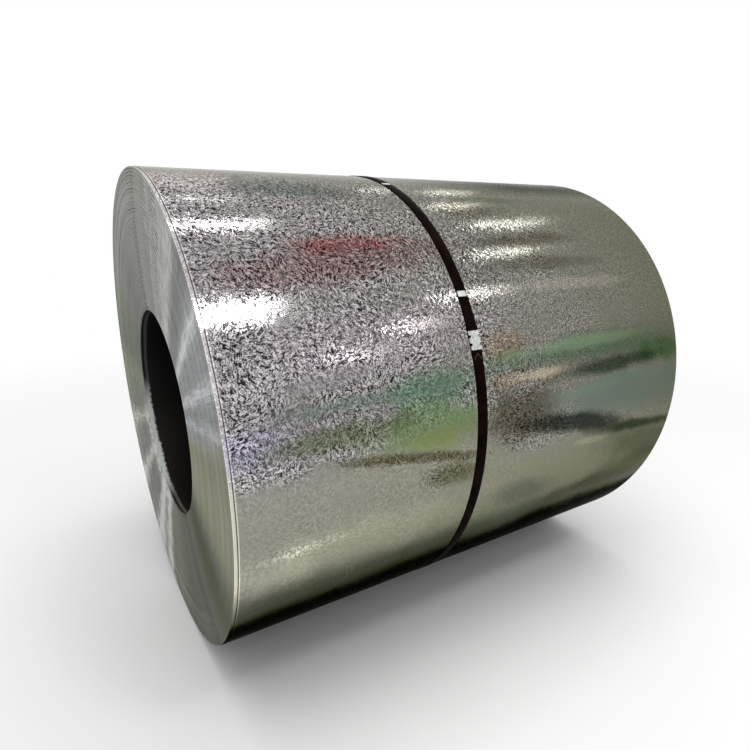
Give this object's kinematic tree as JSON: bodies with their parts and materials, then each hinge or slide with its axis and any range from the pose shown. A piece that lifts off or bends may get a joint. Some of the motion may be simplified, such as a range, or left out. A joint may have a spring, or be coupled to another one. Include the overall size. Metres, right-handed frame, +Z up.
{
  "type": "steel coil",
  "caption": "Wound coil of galvanised steel sheet lying on its side, with an open bore, slightly uneven ends and a steel strap with a crimped seal round its girth.",
  "frame": {"origin": "on the floor under the middle of the coil, which is the bottom centre of its bounding box", "axes": "+X runs along the coil's axis from the end whose rim stands out to the end whose bore stands out, +Z is up, and -Y is the side that carries the strap's seal"},
  "size_m": [1.5116, 1.3577, 1.3577],
  "materials": {
    "galvanised_sheet": "galvanised with a small spangle",
    "strap_paint": "gloss black",
    "seal_zinc": "galvanised, scuffed"
  },
  "bodies": {
    "root": {"coil": "galvanised_sheet", "strap": "strap_paint", "seal": "seal_zinc"}
  },
  "joints": []
}
